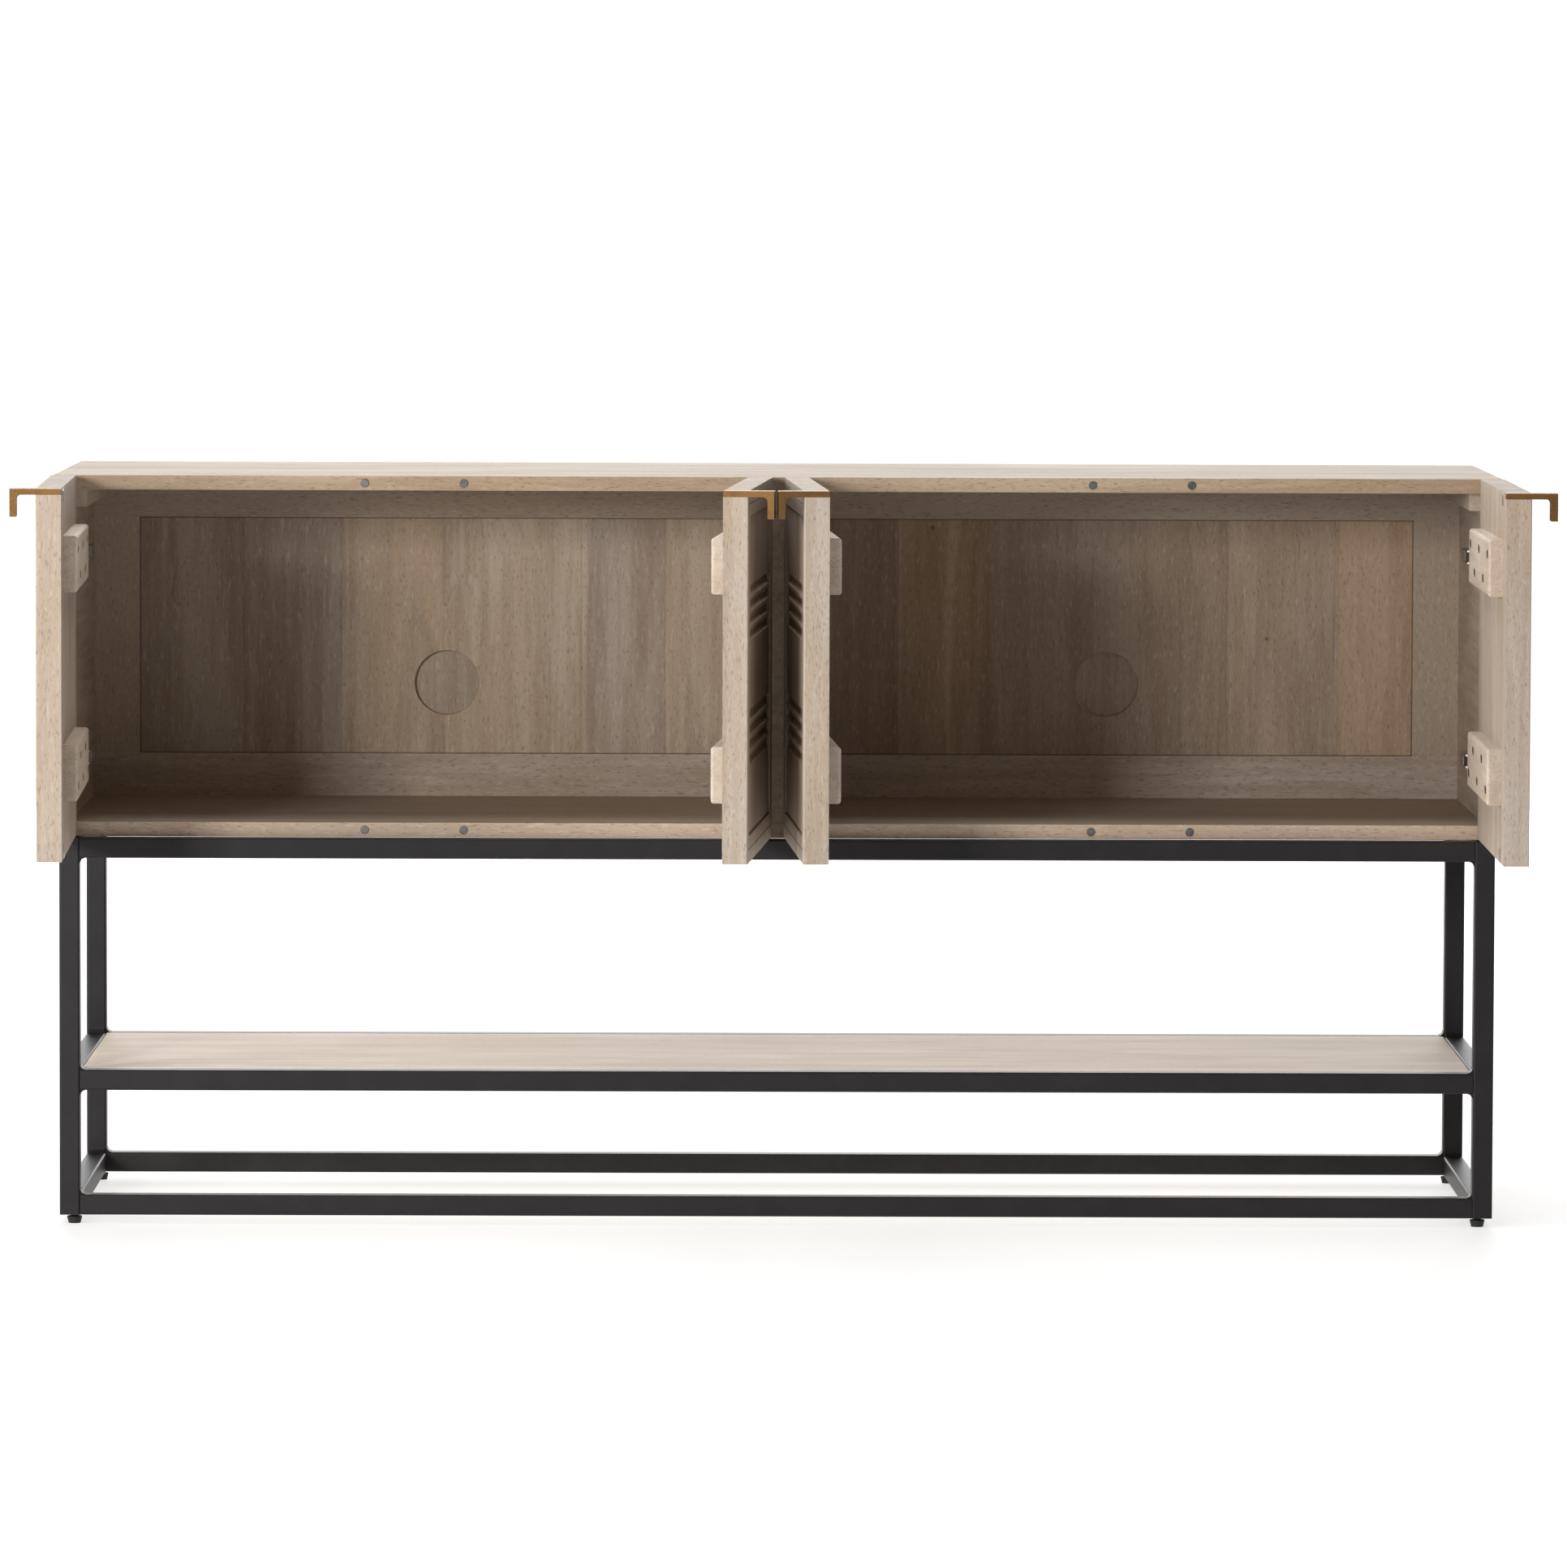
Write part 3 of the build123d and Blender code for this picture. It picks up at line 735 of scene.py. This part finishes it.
@dataclass
class Carcass:
    """The wooden case, its back, its shelf below and its catch magnets."""

    nodes: dict[str, bpy.types.Object]
    body: str = "cabinet"

    def left_staves(self) -> tuple[Stave, ...]:
        """Staves of the left back panel, from left to right; the darker tints of the left staves are partly
        their own tone and partly painted shade of the left door.
        """
        return (
            Stave(-0.90, (0.72, 0.70, 0.70)),
            Stave(-0.680, (0.74, 0.71, 0.70), 0.1),
            Stave(-0.556, (0.86, 0.80, 0.72), 0.85),
            Stave(-0.425, (1.0, 0.96, 0.90), 0.35),
            Stave(-0.2495, (0.84, 0.83, 0.83)),
            Stave(-0.143, (1.0, 0.97, 0.92), 0.12),
        )

    def right_staves(self) -> tuple[Stave, ...]:
        """Staves of the right back panel, from left to right; their tints grow lighter to the right, partly
        the boards' own tone and partly painted shade of the centre doors.
        """
        return (
            Stave(0.0, (0.60, 0.53, 0.48)),
            Stave(0.1496, (0.70, 0.59, 0.46), 0.8),
            Stave(0.2698, (0.68, 0.63, 0.58), 0.1),
            Stave(0.5746, (0.80, 0.75, 0.71), 0.25),
            Stave(0.7125, (0.98, 0.83, 0.68), 0.85),
        )

    def panel_joints_and_shadow_lines(self, staves: tuple[Stave, ...], ends: tuple[float, float]) -> tuple[DarkLine, ...]:
        """Faint seams between staves, and a painted shadow line round the panel where it meets its frame.

        Args:
            staves: The panel's staves.
            ends: Left and right end of the panel's visible face.

        Returns:
            Axis, place, half width and weight of each line.
        """
        glued = [(0, stave.start, 0.5 * MM, 0.28) for stave in staves[1:]]
        # Painted shadow lines where the panel meets its rails and stiles.
        border_shadow = [(0, end, 1.6 * MM, 0.75) for end in ends]
        heights = (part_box("back_rail_lower")[1].z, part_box("back_rail_upper")[0].z)
        border_shadow += [(2, height, 1.6 * MM, 0.75) for height in heights]
        return (*glued, *border_shadow)

    def build(self) -> None:
        """Dresses every wooden piece of the case and the catch magnets."""
        # The upper rail and stiles get a darker wood, partly their own tone and partly painted shade inside
        # the compartments.
        rail = (0.38, 0.305, 0.235)
        finishes = {
            # Front faces: the top panel's is multiplied darker (painted shade), the floor panel's brighter
            # (painted highlight).
            "top_panel": WashedWood("top_wood", Grain.ALONG_X, 1.3, painted_front_light=(0.84, 0.76, 0.66)),
            # The floor panel's darker wood is painted shade on the compartments' floor.
            "bottom_panel": WashedWood("floor_wood", Grain.ALONG_X, 2.1, pale=(0.40, 0.325, 0.255),
                                       painted_front_light=(1.45, 1.42, 1.40)),
            "side_panel_left": WashedWood("left_side_wood", Grain.ALONG_Y, 3.7),
            "side_panel_right": WashedWood("right_side_wood", Grain.ALONG_Y, 4.4),
            "centre_divider": WashedWood("divider_wood", Grain.ALONG_Y, 5.9),
            "back_rail_upper": WashedWood("upper_rail_wood", Grain.ALONG_X, 6.2, pale=rail),
            "back_rail_lower": WashedWood("lower_rail_wood", Grain.ALONG_X, 7.5, pale=(0.45, 0.365, 0.31)),
            "back_stiles": WashedWood("stile_wood", Grain.ALONG_Z, 8.3, pale=rail),
            "back_panel_left": WashedWood("left_back_wood", Grain.ALONG_Z, 9.6, staves=self.left_staves(),
                                          joint_and_shadow_lines=self.panel_joints_and_shadow_lines(self.left_staves(), (-0.813, -0.029))),
            "back_panel_right": WashedWood(
                "right_back_wood", Grain.ALONG_Z, 10.2, staves=self.right_staves(),
                joint_and_shadow_lines=self.panel_joints_and_shadow_lines(self.right_staves(), (0.029, 0.813)),
                knots=(Knot((0.199, 0.452, 0.8385), 4.0 * MM), Knot((0.6265, 0.452, 0.698), 3.5 * MM))),
            # The cable covers get a darker wood: painted shade in their recesses.
            "cable_covers": WashedWood("cover_wood", Grain.ALONG_Z, 11.8, pale=(0.36, 0.29, 0.225),
                                       deep=(0.27, 0.205, 0.15)),
            "top_cleats": WashedWood("cleat_wood", Grain.ALONG_Y, 12.7),
            # The shelf board's very pale wood is partly its own tone and partly painted light, standing for
            # its bright grazing reflection.
            "shelf_board": WashedWood("shelf_wood", Grain.ALONG_X, 13.1, pale=(0.96, 0.82, 0.67),
                                      deep=(0.80, 0.675, 0.54), honey=(0.86, 0.71, 0.54),
                                      wash=(0.86, 0.81, 0.75), pores=0.2),
        }
        for name, finish in finishes.items():
            dress(self.nodes[name], finish.sheet())
        dress(self.nodes["catch_magnets"], NICKEL.sheet())
        LOG.info("carcass: %d wooden pieces", len(finishes))


@dataclass
class Door:
    """One door: how it is hung, and where its screws are in its own flat drawing."""

    name: str
    turn: Turn
    opening: float
    swing_centre: tuple[float, float]
    door_gap: float = 2.5 * MM
    width: float = 441.5 * MM
    batten_start: float = 62 * MM
    batten_end: float = 391.5 * MM
    batten_face: float = 17.5 * MM
    batten_centres: tuple[float, float] = (581 * MM, 829 * MM)
    hole_margin: float = 22 * MM
    hole_row: float = 16 * MM
    hole_depth: float = 9 * MM
    hinge_heights: tuple[float, float] = (573 * MM, 824 * MM)
    cup_centre: float = 22.5 * MM
    flange_screw: float = 23 * MM
    pocket_shade_half: tuple[float, float] = (15.7 * MM, 5.5 * MM)
    pocket_shade_height: float = 8.6 * MM
    flange_face: float = 0.6 * MM
    seed: float = 0.0

    @property
    def body(self) -> str:
        """Name of the door's body."""
        return f"door_{self.name}"

    def placement(self, hinge: Vector) -> Matrix:
        """Places the flat drawing, with s along X and height over the inner face along Y.

        Args:
            hinge: The place of the door's swing centre.

        Returns:
            The placement.
        """
        along, outward = self.swing_centre
        swing = Matrix.Rotation(math.radians(-self.opening), 4, "Z")
        flat = Matrix.Translation((-along, outward - self.door_gap, 0))
        mirror = Matrix.Diagonal((self.turn.value, 1.0, 1.0, 1.0))
        return Matrix.Translation((hinge.x, hinge.y, 0)) @ mirror @ swing @ flat

    def on_inner_face(self, along: float, height: float, z: float) -> Matrix:
        """Placement, in the flat drawing, of a screw that points out of the inner face."""
        return frame_of(Vector((along, height, z)), Vector((0, 1, 0)))

    def pocket_shade_plug(self) -> bpy.types.Object:
        """Models one dark oval plug that fills a batten's slanted screw pocket: painted shade standing for
        the dark inside of the pocket.

        Returns:
            The plug, standing on Z = 0.
        """
        Bench.clear()
        bpy.ops.mesh.primitive_cylinder_add(vertices=32, radius=1.0, depth=self.pocket_shade_height,
                                            location=(0, 0, self.pocket_shade_height / 2))
        pocket_shade_plug = bpy.context.object
        pocket_shade_plug.scale = (*self.pocket_shade_half, 1.0)
        bpy.ops.object.transform_apply(location=True, rotation=False, scale=True)
        Bench.pick(pocket_shade_plug, "FACE", lambda centre, normal: normal.z > 0.9)
        bpy.ops.mesh.bevel(offset=0.5 * MM, segments=2, affect="EDGES")
        Bench.done()
        return pocket_shade_plug

    def batten_pockets(self) -> list[Matrix]:
        """Places of the dark plugs, painted pocket shade, at the bottom of the battens' screw pockets."""
        places = []
        pitch = (self.batten_end - self.batten_start - 2 * self.hole_margin) / 4
        for index, centre in enumerate(self.batten_centres):
            for hole in range(5):
                row = 1 if (hole % 2 == 0) == (index == 1) else -1
                along = self.batten_start + self.hole_margin + hole * pitch
                places.append(self.on_inner_face(along, self.batten_face - self.hole_depth,
                                                 centre + row * self.hole_row))
        return places

    def flange_screws(self) -> list[Matrix]:
        """Places of the screws through the hinge cups' rims."""
        places = []
        for height in self.hinge_heights:
            for side in (-1, 1):
                places.append(self.on_inner_face(self.cup_centre, self.flange_face,
                                                 height + side * self.flange_screw))
        return places

    def build(self, nodes: dict[str, bpy.types.Object], hinge: Vector, metals: dict[str, bpy.types.Material],
              knots: tuple[Knot, ...]) -> None:
        """Dresses the door and adds its screws.

        Args:
            nodes: The CAD nodes.
            hinge: The place of the door's swing centre.
            metals: Shared metal finishes.
            knots: Knots in the slab.
        """
        slab = WashedWood(f"{self.name}_slab_wood", Grain.ALONG_Z, self.seed, knots=knots,
                          pale=(0.435, 0.366, 0.308))
        carved = WashedWood(f"{self.name}_carved_wood", Grain.ALONG_Z, self.seed + 0.5)
        batten = WashedWood(f"{self.name}_batten_wood", Grain.ALONG_Y, self.seed + 0.8,
                            pale=(0.56, 0.47, 0.385), deep=(0.42, 0.345, 0.275))
        prefix = f"door_{self.name}_"
        for part, material in (("slab", slab.sheet()), ("carved_panel", carved.sheet()),
                               ("battens", batten.sheet()), ("pull", metals["brass"]),
                               ("strike_plates", metals["strike"]), ("hinge_cups", metals["hinge"])):
            dress(nodes[prefix + part], material)
        dress(nodes[f"hinge_links_{self.name}"], metals["hinge"])
        placement = self.placement(hinge)
        pocket_shades = Bench.copies(self.pocket_shade_plug(), [placement @ place for place in self.batten_pockets()],
                             prefix + "batten_plugs")
        dress(pocket_shades, metals["pocket_shade_plug"])
        screws = ScrewMaker(3.2 * MM, 1.2 * MM).row(prefix + "cup_screws",
                                                    [placement @ place for place in self.flange_screws()])
        dress(screws, metals["screw"])
        for piece in (pocket_shades, screws):
            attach(piece, self.body)
        LOG.info("door %s dressed", self.name)


END_KNOT = Knot((0.0405, -0.455, 0.869), 4.5 * MM)


@dataclass
class Doors:
    """The four doors and the fixed half of their hinges."""

    frame: dict
    doors: list[Door] = field(default_factory=lambda: [
        Door("outer_left", Turn.LEFT_HUNG, 88.2, OUTER_SWING, seed=21.3),
        Door("inner_left", Turn.RIGHT_HUNG, 86.1, INNER_SWING, seed=24.9),
        Door("inner_right", Turn.LEFT_HUNG, 87.2, INNER_SWING, seed=27.2),
        Door("outer_right", Turn.RIGHT_HUNG, 89.5, OUTER_SWING, seed=30.6),
    ])

    def build(self) -> None:
        """Dresses all doors and hinges."""
        metals = {"brass": BRASS.sheet(), "strike": STRIKE_STEEL.sheet(), "hinge": HINGE_STEEL.sheet(),
                  "screw": SCREW_STEEL.sheet(), "pocket_shade_plug": POCKET_SHADE.sheet()}
        nodes = self.frame["nodes"]
        swings = {j["child"]: Vector(j["pos_m"]) for j in self.frame["joints"]}
        for door in self.doors:
            knots = (END_KNOT,) if door.name == "inner_right" else ()
            door.build(nodes, swings[door.body], metals, knots)
        for name in ("hinge_arms", "hinge_plates"):
            dress(nodes[name], metals["hinge"])


@dataclass(frozen=True)
class Lamp:
    """A square soft lamp: where it hangs, its side in metres, its watts, and the point it faces."""

    name: str
    place: Place
    size: float
    power: float
    target: Place


LAMPS = (
    Lamp("key", (-3.0, -6.75, 1.75), 1.1, 232.0, (-0.1, 0.4, 0.7)),
    Lamp("left", (-4.4, -2.4, 1.6), 2.2, 180.0, (0.0, -0.3, 0.65)),
    Lamp("top", (-0.3, 0.2, 4.2), 2.6, 105.0, (0.0, 0.2, 0.5)),
    Lamp("rear", (0.0, 6.5, 2.0), 5.0, 225.0, (0.0, 0.0, 0.4)),
)


@dataclass
class Studio:
    """Pale floor, soft lights and the camera."""

    front_y: float = -0.013
    distance: float = 11.345
    camera_x: float = -0.0451
    camera_z: float = 1.340
    lens: float = 212.66
    pitch: float = 4.019
    yaw: float = -0.265
    roll: float = 0.192
    surround: float = 0.16
    near_glow: float = 0.66
    far_glow: float = 1.02
    glow_start: float = 1.3
    glow_end: float = 6.0
    floor_side: float = 120.0

    def build(self) -> None:
        """Builds the studio."""
        self.floor()
        self.world()
        for lamp in LAMPS:
            self.hang(lamp)
        self.camera()

    def floor(self) -> None:
        """A large pale floor."""
        Bench.clear()
        bpy.ops.mesh.primitive_plane_add(size=self.floor_side)
        floor = bpy.context.object
        floor.name = "studio_floor"
        s = ShaderSheet("studio_floor_paint")
        grain = s.noise(s.place((1.0, 1.0, 1.0)), 2.0)
        s.join(s.mix(grain, (0.34, 0.337, 0.332), (0.36, 0.357, 0.352)), s.surface.inputs["Base Color"])
        s.surface.inputs["Roughness"].default_value = 0.6
        s.surface.inputs["Specular IOR Level"].default_value = 0.2
        s.surface.inputs["Emission Color"].default_value = (1.0, 0.992, 0.985, 1.0)
        away = s.add("VectorMath", operation="LENGTH")
        s.join(s.place((1.0, 1.0, 1.0)), away.inputs[0])
        glow = s.curve(away.outputs["Value"], self.glow_start, self.glow_end, self.near_glow, self.far_glow)
        s.join(glow, s.surface.inputs["Emission Strength"])
        dress(floor, s.material)

    def world(self) -> None:
        """An even white surround."""
        world = bpy.data.worlds.new("studio_surround")
        bpy.context.scene.world = world
        world.use_nodes = True
        tree = world.node_tree
        back = tree.nodes["Background"]
        back.inputs["Color"].default_value = (1.0, 1.0, 1.0, 1.0)
        seen = tree.nodes.new("ShaderNodeLightPath")
        level = tree.nodes.new("ShaderNodeMapRange")
        level.inputs["To Min"].default_value = self.surround
        level.inputs["To Max"].default_value = 1.0
        tree.links.new(seen.outputs["Is Camera Ray"], level.inputs["Value"])
        tree.links.new(level.outputs["Result"], back.inputs["Strength"])

    @staticmethod
    def hang(lamp: Lamp) -> None:
        """Hangs a lamp.

        Args:
            lamp: What to hang, and where.
        """
        light = bpy.data.lights.new(lamp.name, "AREA")
        light.size = lamp.size
        light.energy = lamp.power
        holder = bpy.data.objects.new(lamp.name, light)
        bpy.context.scene.collection.objects.link(holder)
        holder.location = lamp.place
        aim = Vector(lamp.target) - Vector(lamp.place)
        holder.rotation_euler = aim.to_track_quat("-Z", "Y").to_euler()

    def camera(self) -> None:
        """The camera at the viewing angle."""
        pitch, yaw, roll = (math.radians(a) for a in (self.pitch, self.yaw, self.roll))
        ahead = Vector((-math.sin(yaw), math.cos(yaw), 0.0))
        forward = ahead * math.cos(pitch) - Vector((0.0, 0.0, math.sin(pitch)))
        level = Vector((math.cos(yaw), math.sin(yaw), 0.0))
        up = level.cross(forward)
        right = math.cos(roll) * level + math.sin(roll) * up
        top = math.cos(roll) * up - math.sin(roll) * level
        data = bpy.data.cameras.new("viewpoint")
        data.sensor_fit = "HORIZONTAL"
        data.sensor_width = 36.0
        data.lens = self.lens
        data.clip_end = 200.0
        camera = bpy.data.objects.new("viewpoint", data)
        bpy.context.scene.collection.objects.link(camera)
        place = Vector((self.camera_x, self.front_y - self.distance, self.camera_z))
        turn = Matrix((right, top, -forward)).transposed().to_4x4()
        camera.matrix_world = Matrix.Translation(place) @ turn
        bpy.context.scene.camera = camera


def main() -> None:
    """Builds the scene in order and keeps both boxes."""
    logging.basicConfig(level=logging.INFO, format="%(message)s")
    for spare in list(bpy.data.objects):
        bpy.data.objects.remove(spare)
    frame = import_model()
    bpy.context.scene.view_settings.view_transform = "Standard"
    Stand(frame["nodes"]).build()
    Carcass(frame["nodes"]).build()
    Doors(frame).build()
    Studio().build()


if __name__ == "__main__":
    main()
